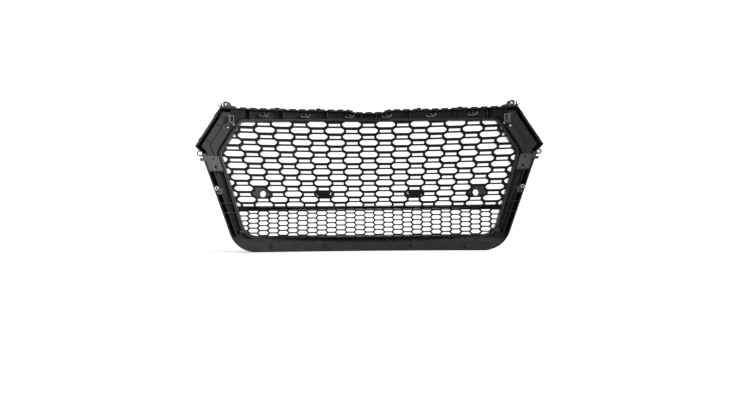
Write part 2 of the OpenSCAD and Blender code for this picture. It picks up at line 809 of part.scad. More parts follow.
rail_clip(1);  // rail_clip_1
rail_clip(2);  // rail_clip_2
rail_clip(3);  // rail_clip_3
rail_clip(4);  // rail_clip_4
rail_clip(5);  // rail_clip_5
rail_clip(6);  // rail_clip_6
top_hook(1);  // top_hook_1
top_hook(2);  // top_hook_2
top_hook(3);  // top_hook_3
top_hook(4);  // top_hook_4
rim_tabs();
foot_clip(-1);  // foot_clip_left
foot_clip(1);  // foot_clip_right
joiner_screws();
panel_screws();
trim_screws();
lug_eyelets();
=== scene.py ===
import json
import math

import bmesh
import bpy
from mathutils import Matrix, Vector

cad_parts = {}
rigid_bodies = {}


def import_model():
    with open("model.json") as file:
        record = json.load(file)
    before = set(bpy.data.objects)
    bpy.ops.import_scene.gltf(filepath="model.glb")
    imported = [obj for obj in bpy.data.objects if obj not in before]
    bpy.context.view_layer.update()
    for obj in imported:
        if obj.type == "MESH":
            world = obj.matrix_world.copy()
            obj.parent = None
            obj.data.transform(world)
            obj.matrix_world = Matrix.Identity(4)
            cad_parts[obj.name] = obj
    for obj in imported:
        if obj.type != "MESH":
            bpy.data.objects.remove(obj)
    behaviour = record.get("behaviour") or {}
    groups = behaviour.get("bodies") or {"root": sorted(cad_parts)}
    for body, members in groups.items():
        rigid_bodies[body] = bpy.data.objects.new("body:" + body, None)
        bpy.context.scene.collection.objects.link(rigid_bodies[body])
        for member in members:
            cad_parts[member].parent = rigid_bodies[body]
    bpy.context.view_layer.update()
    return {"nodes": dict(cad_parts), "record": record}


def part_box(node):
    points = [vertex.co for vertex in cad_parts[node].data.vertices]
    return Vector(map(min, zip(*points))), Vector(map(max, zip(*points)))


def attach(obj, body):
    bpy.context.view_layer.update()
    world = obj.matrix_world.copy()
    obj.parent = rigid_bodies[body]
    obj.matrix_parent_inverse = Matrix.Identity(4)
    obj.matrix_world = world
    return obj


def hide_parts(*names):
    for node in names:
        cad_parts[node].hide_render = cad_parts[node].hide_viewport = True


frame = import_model()

# ---------------------------------------------------------------- driving sizes, in metres
SWEEP_R = 1.2                 # plan radius of the datum sheet
MESH_HALF = 0.008             # half the depth of both mesh panels
TRIM_DEPTH = 0.022            # front trim in front of the meshes
FRAME_DEPTH = 0.034           # rear frame behind the datum sheet
SHEET_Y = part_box("front_trim_upper")[1].y - MESH_HALF - TRIM_DEPTH

HALF_W = 0.529                # half the width across the cheeks
TOP_Z = 0.446                 # top edge
CHEEK_Z = 0.324               # widest point of the cheeks
RAIL_BOTTOM = 0.050
DIVIDER_Z = 0.1358
DIVIDER_H = 0.0153
WEB_T = 0.0035
MESH_LIP = 0.005
MESH_GAP = 0.0004
MESH_EDGE = 0.0005

CELL_PITCH = 0.0549
CELL_STEP = 0.01972
FAN_DEPTH = 1.739
CELL_SPREAD = 0.00024
FIRST_ROW_Z = 0.404
FINE_PITCH = 0.0304
FINE_STEP = 0.0077
FINE_FIRST_Z = DIVIDER_Z - 0.0152
FINE_WALL = 0.004
SENSOR_COL, HOLDER_ROW = 7, 12
SENSOR_IN = 0.004             # how far the sensor holders stand in from their cells' centres
BARREL_R = 0.01275            # outside radius of a sensor holder's barrel
NO_CELL = 99                  # a column and row that no mesh has

PLATE_EDGE = 0.0006           # bevel round a mesh panel
COARSE_FLARE = 0.0006         # widening of the coarse cells at both faces
FINE_FLARE = 0.0004
SCREW_HEAD_H = 0.0024
CLIP_W = 0.032                # width of a rail clip
CLIP_X = (-0.335, -0.204, -0.060, 0.060, 0.204, 0.335)
SHARP_ANGLE = 32              # degrees between faces from which an edge is rounded
WELD = 2e-5                   # vertices closer than this are one


def sheet_y(x, d):
    """Depth coordinate of a point that stands d in front of the swept datum sheet."""
    return SHEET_Y + math.sqrt((SWEEP_R + d) ** 2 - x * x) - SWEEP_R


def cell_point(u, v):
    """Place of column u, row v of the fanned honeycomb."""
    q = 1 - CELL_STEP / FAN_DEPTH
    return (CELL_PITCH * u * (1 + CELL_SPREAD * u * u) * q ** v,
            FIRST_ROW_Z - FAN_DEPTH * (1 - q ** v))


# ---------------------------------------------------------------- shader wiring
def surface(name, colour, rough, specular=0.4, metal=0.0, coat=0.0, coat_rough=0.1):
    """A principled surface with object coordinates ready for its patterns."""
    made = bpy.data.materials.new(name)
    made.use_nodes = True
    tree = made.node_tree
    shader = next(n for n in tree.nodes if n.type == "BSDF_PRINCIPLED")
    shader.inputs["Base Color"].default_value = (*colour, 1)
    shader.inputs["Roughness"].default_value = rough
    shader.inputs["Specular IOR Level"].default_value = specular
    shader.inputs["Metallic"].default_value = metal
    shader.inputs["Coat Weight"].default_value = coat
    shader.inputs["Coat Roughness"].default_value = coat_rough
    coords = tree.nodes.new("ShaderNodeTexCoord").outputs["Object"]
    return made, tree, shader, coords


def noise(tree, coords, scale, detail=3.0, roughness=0.55, stretch=None):
    if stretch:
        mapping = tree.nodes.new("ShaderNodeMapping")
        mapping.inputs["Scale"].default_value = stretch
        tree.links.new(coords, mapping.inputs["Vector"])
        coords = mapping.outputs["Vector"]
    made = tree.nodes.new("ShaderNodeTexNoise")
    made.inputs["Scale"].default_value = scale
    made.inputs["Detail"].default_value = detail
    made.inputs["Roughness"].default_value = roughness
    tree.links.new(coords, made.inputs["Vector"])
    return made.outputs["Fac"]


def spread(tree, fac, low, high, to_low, to_high):
    """A pattern's range low..high stretched to the range to_low..to_high."""
    made = tree.nodes.new("ShaderNodeMapRange")
    for label, value in (("From Min", low), ("From Max", high), ("To Min", to_low), ("To Max", to_high)):
        made.inputs[label].default_value = value
    tree.links.new(fac, made.inputs["Value"])
    return made.outputs["Result"]


def tint(tree, fac, first, second):
    made = tree.nodes.new("ShaderNodeMix")
    made.data_type = "RGBA"
    made.inputs["A"].default_value = (*first, 1)
    made.inputs["B"].default_value = (*second, 1)
    tree.links.new(fac, made.inputs["Factor"])
    return made.outputs["Result"]


def layered(tree, fac, under, over):
    """Colour over laid on colour under where fac is one."""
    made = tree.nodes.new("ShaderNodeMix")
    made.data_type = "RGBA"
    tree.links.new(under, made.inputs["A"])
    made.inputs["B"].default_value = (*over, 1)
    tree.links.new(fac, made.inputs["Factor"])
    return made.outputs["Result"]


def times(tree, first, second):
    made = tree.nodes.new("ShaderNodeMath")
    made.operation = "MULTIPLY"
    for socket, value in zip(made.inputs, (first, second)):
        if isinstance(value, (int, float)):
            socket.default_value = value
        else:
            tree.links.new(value, socket)
    return made.outputs[0]


def bumps(tree, shader, layers):
    """Height patterns stacked on the shader's normal: (pattern, depth in metres, strength)."""
    normal = None
    for height, depth, strength in layers:
        made = tree.nodes.new("ShaderNodeBump")
        made.inputs["Distance"].default_value = depth
        made.inputs["Strength"].default_value = strength
        tree.links.new(height, made.inputs["Height"])
        if normal:
            tree.links.new(normal, made.inputs["Normal"])
        normal = made.outputs["Normal"]
    tree.links.new(normal, shader.inputs["Normal"])


def up_face_dusting_and_light(tree, coords, amount):
    """Fine pale dusting in patches on faces that look up. It also serves as painted light: up-facing faces
    are made paler as if lit from above, strongly so where the amount is large.
    """
    geometry = tree.nodes.new("ShaderNodeNewGeometry")
    split = tree.nodes.new("ShaderNodeSeparateXYZ")
    tree.links.new(geometry.outputs["Normal"], split.inputs["Vector"])
    ledge = spread(tree, split.outputs["Z"], 0.35, 0.95, 0.0, amount)
    patch = spread(tree, noise(tree, coords, 60, 5), 0.4, 0.7, 0.3, 1.0)
    return times(tree, ledge, patch)


def moulded_plastic(name, colour, rough, grain=900, grain_depth=0.00012, specular=0.12, dusting_and_top_light=0.05, flow=0.4):
    """Injection-moulded plastic: spark grain, faint flow marks, rubbed patches, and pale dusting on faces
    that look up, which is partly painted light from above.
    """
    made, tree, shader, coords = surface(name, colour, rough, specular)
    mottle = noise(tree, coords, 22, 4)
    streak = noise(tree, coords, 18, 3, stretch=(1, 1, 7))
    dark = tuple(c * 0.82 for c in colour)
    light = tuple(c * 1.3 for c in colour)
    body = tint(tree, spread(tree, mottle, 0.35, 0.65, 0, 1), dark, light)
    rubbed = times(tree, spread(tree, streak, 0.62, 0.78, 0, 1), flow)
    body = layered(tree, rubbed, body, tuple(c * 1.9 for c in colour))
    # Paler colour on up-facing faces: fine dusting, plus painted light from above where the amount is large.
    body = layered(tree, up_face_dusting_and_light(tree, coords, dusting_and_top_light), body, (0.16, 0.155, 0.15))
    tree.links.new(body, shader.inputs["Base Color"])
    tree.links.new(spread(tree, mottle, 0.3, 0.7, rough - 0.07, rough + 0.08), shader.inputs["Roughness"])
    bumps(tree, shader, [(noise(tree, coords, grain, 2, 0.6), grain_depth, 0.35),
                         (noise(tree, coords, 35, 2), 0.0006, 0.08)])
    return made


def lacquer(name, colour):
    """Deep black lacquer: faint orange peel under a clear coat, with a few hairline swirls."""
    made, tree, shader, coords = surface(name, colour, 0.22, 0.25, coat=0.7, coat_rough=0.04)
    haze = noise(tree, coords, 12, 3)
    swirl = noise(tree, coords, 260, 2, stretch=(1, 1, 0.06))
    body = tint(tree, spread(tree, haze, 0.35, 0.65, 0, 1), colour, tuple(c * 1.5 for c in colour))
    tree.links.new(body, shader.inputs["Base Color"])
    tree.links.new(spread(tree, swirl, 0.45, 0.7, 0.16, 0.3), shader.inputs["Roughness"])
    bumps(tree, shader, [(noise(tree, coords, 240, 2), 0.0001, 0.12)])
    return made


def rubber(name, colour):
    made, tree, shader, coords = surface(name, colour, 0.8, 0.25)
    bloom = noise(tree, coords, 120, 4)
    body = tint(tree, spread(tree, bloom, 0.4, 0.7, 0, 1), colour, tuple(c * 2 + 0.01 for c in colour))
    tree.links.new(body, shader.inputs["Base Color"])
    bumps(tree, shader, [(noise(tree, coords, 1400, 2), 0.00015, 0.5)])
    return made


def plated_steel(name, colour, rough):
    """Zinc plating: cloudy crystals, tool marks and darker stains."""
    made, tree, shader, coords = surface(name, colour, rough, 0.5, metal=1.0)
    crystals = tree.nodes.new("ShaderNodeTexVoronoi")
    crystals.inputs["Scale"].default_value = 900
    tree.links.new(coords, crystals.inputs["Vector"])
    stain = noise(tree, coords, 300, 4)
    body = tint(tree, spread(tree, stain, 0.35, 0.7, 0, 1), colour, tuple(c * 0.6 for c in colour))
    tree.links.new(body, shader.inputs["Base Color"])
    rough_map = spread(tree, crystals.outputs["Distance"], 0.0, 0.7, rough - 0.08, rough + 0.12)
    tree.links.new(rough_map, shader.inputs["Roughness"])
    bumps(tree, shader, [(noise(tree, coords, 2500, 2, stretch=(1, 1, 5)), 0.00006, 0.4)])
    return made


FINISH = {
    "frame_plastic": moulded_plastic("frame black, fine grain", (0.007, 0.007, 0.0074), 0.42),
    "panel_plastic": moulded_plastic("panel charcoal, smooth", (0.009, 0.009, 0.0094), 0.4, 1300, 0.00008),
    "mesh_plastic": moulded_plastic("mesh black, semi-gloss", (0.0015, 0.0015, 0.0016), 0.36, 1500,
                                    0.00005, 0.07, dusting_and_top_light=0.02, flow=0.2),
    "rim_plastic": moulded_plastic("rim black, worn edge", (0.006, 0.006, 0.0063), 0.34, 1200, 0.00008, 0.22,
                                   flow=0.7),
    "trim_gloss": lacquer("trim piano black", (0.004, 0.004, 0.0045)),
    "holder_plastic": moulded_plastic("holder charcoal", (0.016, 0.016, 0.0165), 0.5, 1100),
    "clip_plastic": moulded_plastic("clip black, tough", (0.007, 0.007, 0.0073), 0.35, 1600, 0.00006, 0.25),
    "buffer_rubber": rubber("buffer rubber", (0.006, 0.006, 0.006)),
    "screw_zinc": plated_steel("screw zinc", (0.35, 0.35, 0.355), 0.36),
    "eyelet_steel": plated_steel("eyelet steel", (0.4, 0.4, 0.41), 0.3),
}
SPECIAL = {
    # The lower frame's heavy pale colour on up-facing faces is mostly painted light: it makes the up-facing
    # slope paler as if lit from above.
    "lower_frame": moulded_plastic("frame black, dusty ledge", (0.0085, 0.0083, 0.0082), 0.42, dusting_and_top_light=0.2),
    "waist_joiner": moulded_plastic("joiner charcoal, polished", (0.009, 0.009, 0.0092), 0.27, 1300,
                                    0.00003, 0.3, flow=0.6),
    # The rail covers' near-black colour is painted shade: it darkens the top rail's recess, where only shade
    # falls.
    "rail_cover": moulded_plastic("cover black", (0.0018, 0.0018, 0.0019), 0.42, 1300, 0.00008, 0.08),
    # The rail clips' pale grey colour is a painted highlight: it makes their thin arms read as lit edges.
    "rail_clip": moulded_plastic("rail clip, natural nylon", (0.09, 0.09, 0.088), 0.4, 1500, 0.00006, 0.4),
    # The corner and foot clips are paler than the other clips as a painted highlight, so their outlines read
    # as lit edges.
    "pale_clips_painted_highlight": moulded_plastic("clip black, worn", (0.02, 0.02, 0.021), 0.35, 1500, 0.00006, 0.4),
    "black_screws": plated_steel("screw black oxide", (0.03, 0.03, 0.032), 0.42),
}
SPECIAL_OF = {"lower_frame": "lower_frame", "trim_screws": "black_screws", "joiner_screws": "black_screws"}
for side in ("left", "right"):
    SPECIAL_OF["waist_joiner_" + side] = "waist_joiner"
    SPECIAL_OF["rail_cover_" + side] = "rail_cover"
    SPECIAL_OF["corner_clip_" + side] = SPECIAL_OF["foot_clip_" + side] = "pale_clips_painted_highlight"
for i in range(1, 7):
    SPECIAL_OF[f"rail_clip_{i}"] = "rail_clip"
SLOT_OF = {s["node"]: s["material_slot"] for s in frame["record"]["subparts"]}


# ---------------------------------------------------------------- making and finishing pieces
def as_object(name, mesh):
    made = bpy.data.objects.new(name, mesh)
    bpy.context.scene.collection.objects.link(made)
    return made


def from_bmesh(name, bm):
    bmesh.ops.recalc_face_normals(bm, faces=bm.faces)
    mesh = bpy.data.meshes.new(name)
    bm.to_mesh(mesh)
    bm.free()
    return as_object(name, mesh)


def bake(piece):
    """Turns a piece's live modifiers into its plain mesh."""
    graph = bpy.context.evaluated_depsgraph_get()
    mesh = bpy.data.meshes.new_from_object(piece.evaluated_get(graph))
    piece.modifiers.clear()
    piece.data = mesh
    mesh.name = piece.name
    return piece


def soften(piece, edge, steps=2):
    """Rounds a piece's sharp edges by edge metres and shades what is between them flat."""
    mesh = piece.data
    mesh.shade_smooth()
    if edge:
        bevel = piece.modifiers.new("edges", "BEVEL")
        bevel.width = edge
        bevel.segments = steps
        bevel.limit_method = "ANGLE"
        bevel.angle_limit = math.radians(SHARP_ANGLE)
        bevel.use_clamp_overlap = False
    weighted = piece.modifiers.new("shading", "WEIGHTED_NORMAL")
    weighted.keep_sharp = True
    bake(piece)
    piece.data.shade_smooth()
    return piece


def keep(piece, slot, *nodes):
    """Gives a finished piece its finish and its place in the frame."""
    piece.data.materials.clear()
    special = [SPECIAL[SPECIAL_OF[n]] for n in nodes if n in SPECIAL_OF]
    piece.data.materials.append(special[0] if special else FINISH[slot])
    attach(piece, "root")
    if nodes:
        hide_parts(*nodes)
    return piece


def finished_copy(node, name, edge):
    """A bevelled copy of a CAD node, which then stands for it."""
    bm = bmesh.new()
    bm.from_mesh(frame["nodes"][node].data)
    bmesh.ops.remove_doubles(bm, verts=bm.verts, dist=WELD)
    bmesh.ops.dissolve_degenerate(bm, dist=WELD, edges=bm.edges)
    bmesh.ops.dissolve_limit(bm, angle_limit=math.radians(0.3), verts=bm.verts, edges=bm.edges)
    mesh = bpy.data.meshes.new(name)
    bm.to_mesh(mesh)
    bm.free()
    piece = soften(as_object(name, mesh), edge)
    return keep(piece, SLOT_OF[node], node)


# ---------------------------------------------------------------- flat outlines
def corner_arc(before, at, after, radius, steps):
    """Points of a rounded corner on the way before, at, after."""
    a = (Vector(before) - Vector(at)).normalized()
    b = (Vector(after) - Vector(at)).normalized()
    half = a.angle(b) / 2
    centre = Vector(at) + (a + b).normalized() * radius / math.sin(half)
    start = Vector(at) + a * radius / math.tan(half) - centre
    end = Vector(at) + b * radius / math.tan(half) - centre
    turn = math.atan2(start.x * end.y - start.y * end.x, start.dot(end))
    points = []
    for i in range(steps + 1):
        s = turn * i / steps
        points.append(centre + Vector((start.x * math.cos(s) - start.y * math.sin(s),
                                       start.x * math.sin(s) + start.y * math.cos(s))))
    return points


def rounded(corners, steps):
    """A closed outline from corners (x, z, radius)."""
    points = []
    for i, (x, z, radius) in enumerate(corners):
        before, after = corners[i - 1][:2], corners[(i + 1) % len(corners)][:2]
        points += corner_arc(before, (x, z), after, radius, steps) if radius else [Vector((x, z))]
    return points


def inset(points, by):
    """The outline moved inwards by a distance; a negative distance moves it outwards."""
    area = sum(a.x * b.y - b.x * a.y for a, b in zip(points, points[1:] + points[:1]))
    side = 1 if area > 0 else -1
    moved = []
    for i, p in enumerate(points):
        before = (p - points[i - 1]).normalized()
        after = (points[(i + 1) % len(points)] - p).normalized()
        n1 = Vector((-before.y, before.x)) * side
        n2 = Vector((-after.y, after.x)) * side
        moved.append(p + (n1 + n2) * by / (1 + n1.dot(n2)))
    return moved


def half_plane(points, axis, limit, keep_above):
    """A convex outline cut by the line axis = limit."""
    kept = []
    for a, b in zip(points, points[1:] + points[:1]):
        inside_a, inside_b = ((p[axis] >= limit) == keep_above for p in (a, b))
        if inside_a:
            kept.append(a)
        if inside_a != inside_b:
            kept.append(a.lerp(b, (limit - a[axis]) / (b[axis] - a[axis])))
    return kept


def opening_outline(outset):
    """The opening's outline, wider by outset all round."""
    ear_x, ear_z, bow = 0.400, 0.406, 0.009
    half = [(HALF_W - 0.142, RAIL_BOTTOM, 0.045), (HALF_W - 0.071, 0.306, 0.022), (ear_x, ear_z, 0.009)]
    half += [(ear_x * i / 4, ear_z + bow * (1 - (i / 4) ** 2), 0) for i in (3, 2, 1)]
    return inset(rounded(half + [(-x, z, r) for x, z, r in reversed(half)], 6), -outset)


def swept_ring(name, profile, step=0.012):
    """A closed ring round the opening; the profile's points are (outset, depth in front of the sheet)."""
    base = opening_outline(0)
    parts = [max(1, math.ceil((b - a).length / step)) for a, b in zip(base, base[1:] + base[:1])]
    bm = bmesh.new()
    rings = []
    for outset, depth in profile:
        path = opening_outline(outset)
        places = [a.lerp(b, k / n) for a, b, n in zip(path, path[1:] + path[:1], parts) for k in range(n)]
        rings.append([bm.verts.new((p.x, sheet_y(p.x, depth), p.y)) for p in places])
    for low, high in zip(rings, rings[1:] + rings[:1]):
        for i in range(len(low)):
            j = (i + 1) % len(low)
            bm.faces.new((low[i], low[j], high[j], high[i]))
    return from_bmesh(name, bm)


def prism(name, points, levels):
    """A closed solid from an outline: levels are (depth, how far the outline is moved outwards)."""
    bm = bmesh.new()
    rings = [[bm.verts.new((p.x, depth, p.y)) for p in inset(points, -outset)] for depth, outset in levels]
    for low, high in zip(rings, rings[1:]):
        for i in range(len(low)):
            j = (i + 1) % len(low)
            bm.faces.new((low[i], low[j], high[j], high[i]))
    bm.faces.new(rings[0])
    bm.faces.new(reversed(rings[-1]))
    return from_bmesh(name, bm)


# ---------------------------------------------------------------- geometry node trees
class Wiring:
    """Adds nodes to a geometry tree and joins them up."""

    def __init__(self, name, inputs):
        self.tree = bpy.data.node_groups.new(name, "GeometryNodeTree")
        face = self.tree.interface
        self.ids = {}
        face.new_socket("Geometry", in_out="INPUT", socket_type="NodeSocketGeometry")
        for label, kind in inputs:
            made = face.new_socket(label, in_out="INPUT", socket_type="NodeSocket" + kind)
            self.ids[label] = made.identifier
        face.new_socket("Geometry", in_out="OUTPUT", socket_type="NodeSocketGeometry")
        self.given = self.tree.nodes.new("NodeGroupInput").outputs

    def node(self, kind, feeds=(), **settings):
        made = self.tree.nodes.new(kind)
        for key, value in settings.items():
            setattr(made, key, value)
        for key, value in dict(feeds).items():
            self.feed(made.inputs[key], value)
        return made

    def feed(self, socket, value):
        for item in value if isinstance(value, list) else [value]:
            if isinstance(item, bpy.types.NodeSocket):
                self.tree.links.new(item, socket)
            else:
                socket.default_value = item

    def math(self, operation, *values):
        made = self.node("ShaderNodeMath", operation=operation)
        for socket, value in zip(made.inputs, values):
            self.feed(socket, value)
        return made.outputs[0]

    def moved(self, geometry, x, y, z):
        """The geometry with each point set to x, y, z."""
        place = self.node("ShaderNodeCombineXYZ", {"X": x, "Y": y, "Z": z}).outputs[0]
        return self.node("GeometryNodeSetPosition", {"Geometry": geometry, "Position": place}).outputs[0]

    def place(self):
        """Outputs X, Y and Z of each point."""
        at = self.node("GeometryNodeInputPosition").outputs[0]
        return self.node("ShaderNodeSeparateXYZ", {"Vector": at}).outputs

    def bent(self, geometry):
        """Flat geometry carried onto the swept sheet: its Y is the depth in front of the sheet."""
        x, y, z = self.place()
        reach = self.math("POWER", self.math("ADD", y, SWEEP_R), 2.0)
        root = self.math("SQRT", self.math("SUBTRACT", reach, self.math("MULTIPLY", x, x)))
        return self.moved(geometry, x, self.math("ADD", root, SHEET_Y - SWEEP_R), z)

    def finish(self, geometry):
        realized = self.node("GeometryNodeRealizeInstances", {"Geometry": geometry}).outputs[0]
        painted = self.node("GeometryNodeSetMaterial",
                            {"Geometry": realized, "Material": self.given["Finish"]}).outputs[0]
        out = self.tree.nodes.new("NodeGroupOutput")
        self.tree.links.new(painted, out.inputs["Geometry"])

    def apply(self, piece, values):
        """Runs the tree on a piece with these values and leaves the piece a plain mesh."""
        modifier = piece.modifiers.new(self.tree.name, "NODES")
        modifier.node_group = self.tree
        for label, value in values.items():
            modifier[self.ids[label]] = value
        return bake(piece)


def honeycomb_tree(name, fanned):
    """A plate pierced by cells on a staggered grid; fanned columns aim at one point far below."""
    w = Wiring(name, [("Cell", "Object"), ("Slot", "Object"), ("Window", "Object"), ("Bores", "Object"),
                      ("Columns", "Int"), ("Rows", "Int"), ("Pitch", "Float"), ("Step", "Float"),
                      ("First row", "Float"), ("Fan depth", "Float"), ("Spread", "Float"),
                      ("Closed column", "Int"), ("Closed row", "Int"), ("Finish", "Material")])
    g = w.given
    across = w.math("ADD", w.math("MULTIPLY", g["Columns"], 2.0), 1.0)
    count = w.math("MULTIPLY", across, w.math("ADD", g["Rows"], 3.0))
    line = w.node("GeometryNodeMeshLine", {"Count": count}, mode="OFFSET").outputs[0]
    index = w.node("GeometryNodeInputIndex").outputs[0]
    column = w.math("SUBTRACT", w.math("MODULO", index, across), g["Columns"])
    row = w.math("SUBTRACT", w.math("FLOOR", w.math("DIVIDE", w.math("ADD", index, 0.5), across)), 2.0)
    grid = w.moved(line, column, 0.0, row)
    u, _, v = w.place()
    parity = w.math("MODULO", w.math("ADD", w.math("ADD", u, v), 200.0), 2.0)
    even = w.math("LESS_THAN", parity, 0.5)
    grid = w.node("GeometryNodeDeleteGeometry", {"Geometry": grid, "Selection": even}).outputs[0]
    off_column = w.math("GREATER_THAN", w.math("ABSOLUTE", w.math(
        "SUBTRACT", w.math("ABSOLUTE", u), g["Closed column"])), 0.5)

    def pierced(cutter, row_shift):
        """Cutters on every grid point except the closed cell's."""
        off_row = w.math("GREATER_THAN", w.math("ABSOLUTE", w.math(
            "SUBTRACT", w.math("ADD", v, float(row_shift)), g["Closed row"])), 0.5)
        shape = w.node("GeometryNodeObjectInfo", {"Object": cutter}).outputs["Geometry"]
        open_cell = w.math("MAXIMUM", off_column, off_row)
        return w.node("GeometryNodeInstanceOnPoints",
                      {"Points": grid, "Selection": open_cell, "Instance": shape}).outputs[0]

    cutters = w.node("GeometryNodeJoinGeometry",
                     {"Geometry": [pierced(g["Cell"], 0), pierced(g["Slot"], 2)]}).outputs[0]
    cutters = w.node("GeometryNodeRealizeInstances", {"Geometry": cutters}).outputs[0]
    u, d, v = w.place()
    if fanned:
        ratio = w.math("SUBTRACT", 1.0, w.math("DIVIDE", g["Step"], g["Fan depth"]))
        shrink = w.math("POWER", ratio, v)
        wider = w.math("ADD", w.math("MULTIPLY", w.math("MULTIPLY", u, u), g["Spread"]), 1.0)
        x = w.math("MULTIPLY", w.math("MULTIPLY", w.math("MULTIPLY", u, g["Pitch"]), wider), shrink)
        drop = w.math("MULTIPLY", g["Fan depth"], w.math("SUBTRACT", 1.0, shrink))
    else:
        x = w.math("MULTIPLY", u, g["Pitch"])
        drop = w.math("MULTIPLY", v, g["Step"])
    cutters = w.moved(cutters, x, d, w.math("SUBTRACT", g["First row"], drop))
    window = w.node("GeometryNodeObjectInfo", {"Object": g["Window"]}).outputs["Geometry"]
    bores = w.node("GeometryNodeObjectInfo", {"Object": g["Bores"]}).outputs["Geometry"]
    holes = w.node("GeometryNodeMeshBoolean", {"Mesh 2": [cutters, window]},
                   operation="INTERSECT", solver="MANIFOLD").outputs[0]
    plate = w.node("GeometryNodeMeshBoolean", {"Mesh 1": g["Geometry"], "Mesh 2": [holes]},
                   operation="DIFFERENCE", solver="MANIFOLD").outputs[0]
    plate = w.node("GeometryNodeMeshBoolean", {"Mesh 1": plate, "Mesh 2": [bores]},
                   operation="DIFFERENCE", solver="MANIFOLD").outputs[0]
    plate = w.node("GeometryNodeMergeByDistance", {"Geometry": plate, "Distance": 0.00004}).outputs[0]
    plate = w.node("GeometryNodeTriangulate", {"Mesh": plate}).outputs[0]
    w.finish(w.bent(plate))
    return w


# ---------------------------------------------------------------- the two meshes
def cell_cutter(name, corners, pitch, step, flare):
    """A cutter for one cell, in units of a column and half a row, flared where it leaves the plate."""
    outline = rounded(corners, 2)
    wide = MESH_HALF + flare
    levels = [(-wide, 1.6 * flare), (-MESH_HALF + 0.9 * flare, 0),
              (MESH_HALF - 0.9 * flare, 0), (wide, 1.6 * flare)]
    made = prism(name, outline, levels)
    for vertex in made.data.vertices:
        vertex.co = (vertex.co.x / pitch, vertex.co.y, -vertex.co.z / step)
    return made


def hexagon(pitch, step, corner, tip, rounding):
    """Corners of a flat hexagon in metres, from shares of a column and of half a row."""
    cx, cz, tx = corner[0] * pitch, corner[1] * step, tip * pitch
    return [(cx, -cz, rounding), (tx, 0, rounding), (cx, cz, rounding),
            (-cx, cz, rounding), (-tx, 0, rounding), (-cx, -cz, rounding)]


def slot_corners(pitch, step, half, rows, rounding):
    """Corners of the letter-box slot under a cell."""
    low, high = -rows[1] * step, -rows[0] * step
    return [(-half * pitch, low, rounding), (half * pitch, low, rounding),
            (half * pitch, high, rounding), (-half * pitch, high, rounding)]


def sensor_bores(radius):
    """Two round cutters where the sensor holders' barrels pass through the mesh."""
    bm = bmesh.new()
    for node in ("sensor_holder_left", "sensor_holder_right"):
        side = 1 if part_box(node)[0].x > 0 else -1
        u, v = cell_point(SENSOR_COL, HOLDER_ROW)
        turn = Matrix.Translation((side * (u - SENSOR_IN), 0, v)) @ Matrix.Rotation(math.pi / 2, 4, "X")
        bmesh.ops.create_cone(bm, cap_ends=True, segments=48, radius1=radius, radius2=radius,
                              depth=0.06, matrix=turn)
    return from_bmesh("sensor bores", bm)


def mesh_panel(name, node, tree, outline, window, cell, slot, values):
    """One pierced mesh panel, which stands for its CAD node."""
    plate = prism(name, outline, [(-MESH_HALF, -PLATE_EDGE), (-MESH_HALF + PLATE_EDGE, 0),
                                  (MESH_HALF - PLATE_EDGE, 0), (MESH_HALF, -PLATE_EDGE)])
    gap = prism("window", window, [(-0.03, 0), (0.03, 0)])
    bores = sensor_bores(BARREL_R)
    tree.apply(plate, {"Cell": cell, "Slot": slot, "Window": gap, "Bores": bores,
                       "Finish": FINISH["mesh_plastic"], **values})
    for helper in (gap, bores):
        bpy.data.objects.remove(helper)
    soften(plate, 0)
    return keep(plate, "mesh_plastic", node)


def build_meshes():
    web_half = WEB_T / 2 + MESH_GAP / 2
    lip, edge = opening_outline(MESH_LIP), opening_outline(MESH_EDGE)
    coarse = cell_cutter("cell", hexagon(CELL_PITCH, CELL_STEP, (0.385, 0.44), 0.63, 0.005),
                         CELL_PITCH, CELL_STEP, COARSE_FLARE)
    letter_box = cell_cutter("slot", slot_corners(CELL_PITCH, CELL_STEP, 0.33, (0.87, 1.31), 0.0012),
                             CELL_PITCH, CELL_STEP, COARSE_FLARE)
    mesh_panel("upper_honeycomb", "upper_mesh", honeycomb_tree("fanned honeycomb", True),
               half_plane(lip, 1, DIVIDER_Z + web_half, True),
               half_plane(edge, 1, DIVIDER_Z + DIVIDER_H / 2 - MESH_EDGE, True), coarse, letter_box,
               {"Columns": 11, "Rows": 16, "Pitch": CELL_PITCH, "Step": CELL_STEP, "First row": FIRST_ROW_Z,
                "Fan depth": FAN_DEPTH, "Spread": CELL_SPREAD, "Closed column": SENSOR_COL,
                "Closed row": HOLDER_ROW})
    tip, flat = 0.6 * (FINE_PITCH - FINE_WALL), 0.4 * (FINE_PITCH - FINE_WALL)
    tall = FINE_STEP - FINE_WALL / 2
    fine = [(tip, 0, 0.0015), (flat, tall, 0.0012), (-flat, tall, 0.0012),
            (-tip, 0, 0.0015), (-flat, -tall, 0.0012), (flat, -tall, 0.0012)]
    small = cell_cutter("fine cell", fine, FINE_PITCH, FINE_STEP, FINE_FLARE)
    mesh_panel("lower_honeycomb", "lower_mesh", honeycomb_tree("even honeycomb", False),
               half_plane(lip, 1, DIVIDER_Z - web_half, False),
               half_plane(edge, 1, DIVIDER_Z - DIVIDER_H / 2 + MESH_EDGE, False), small, None,
               {"Columns": 15, "Rows": 12, "Pitch": FINE_PITCH, "Step": FINE_STEP, "First row": FINE_FIRST_Z,
                "Closed column": NO_CELL, "Closed row": NO_CELL})
    for helper in (coarse, letter_box, small):
        bpy.data.objects.remove(helper)


build_meshes()

# ---------------------------------------------------------------- frames, trims and fixings
# The rim's section, as points (outset, depth in front of the sheet)
RIM_PROFILE = [(0.0003, -0.008), (0, -0.0084), (0, -0.0113), (0.0004, -0.0118), (0.0011, -0.012),
               (0.0022, -0.012), (0.0028, -0.0117), (0.0031, -0.0112), (0.0032, -0.0104), (0.0036, -0.0101),
               (0.0083, -0.01), (0.0088, -0.0097), (0.009, -0.0092), (0.009, -0.008)]
keep(soften(swept_ring("rim_bead", RIM_PROFILE), 0), "rim_plastic", "mesh_rim")


